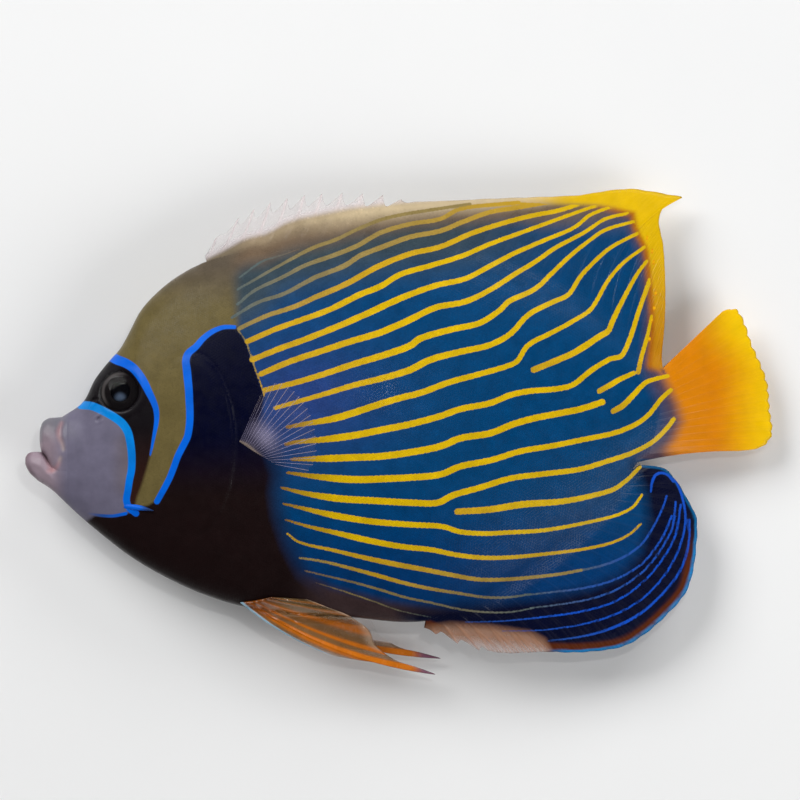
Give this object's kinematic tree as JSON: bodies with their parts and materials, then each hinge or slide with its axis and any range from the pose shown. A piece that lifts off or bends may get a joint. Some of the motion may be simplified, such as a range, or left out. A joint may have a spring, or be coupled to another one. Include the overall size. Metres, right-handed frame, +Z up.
{
  "type": "emperor angelfish",
  "caption": "Life-size emperor angelfish lying on its right flank: yellow stripes on blue, dark eye mask edged in blue, tall pointed dorsal fin and yellow tail. A still display model.",
  "frame": {"origin": "middle of the bounding box on the floor that the fish lies on, under its right flank", "axes": "-X towards the snout and +X towards the tail, +Y towards the back and dorsal fin, +Z up, out of the left flank"},
  "size_m": [0.2698, 0.1754, 0.0638],
  "materials": {
    "head_skin": "wet fish skin, olive brown with a black mask and bright blue lines",
    "flank_skin": "wet fish skin with small scales, blue with narrow yellow stripes",
    "lip_skin": "wet fish skin, pale lavender grey with pink folds",
    "eye": "clear wet cornea over a nearly black iris and pupil",
    "gill_skin": "wet fish skin, blue black behind a bright blue line",
    "cheek_spine": "smooth, bright blue",
    "back_fin": "scaled fin, brown at its root and clear between the spine tips",
    "yellow_fin": "scaled fin, striped blue and yellow with a yellow margin",
    "dark_fin": "scaled fin, blue black with thin blue lines and a brown margin",
    "tail_fin": "thin fin with rays, orange yellow with a brighter margin",
    "clear_fin": "clear thin fin with pale rays",
    "orange_fin": "thin fin with orange rays and a pale blue front edge"
  },
  "bodies": {
    "root": {"head": "head_skin", "trunk": "flank_skin", "tail_stalk": "flank_skin", "upper_lip": "lip_skin", "lower_jaw": "lip_skin", "eye_left": "eye", "eye_right": "eye", "gill_cover_left": "gill_skin", "gill_cover_right": "gill_skin", "cheek_spine_left": "cheek_spine", "cheek_spine_right": "cheek_spine", "dorsal_fin_spiny": "back_fin", "dorsal_fin_soft": "yellow_fin", "anal_fin": "dark_fin", "caudal_fin": "tail_fin", "pectoral_fin_left": "clear_fin", "pectoral_fin_right": "clear_fin", "pelvic_fin_left": "orange_fin", "pelvic_fin_right": "orange_fin"}
  },
  "joints": []
}
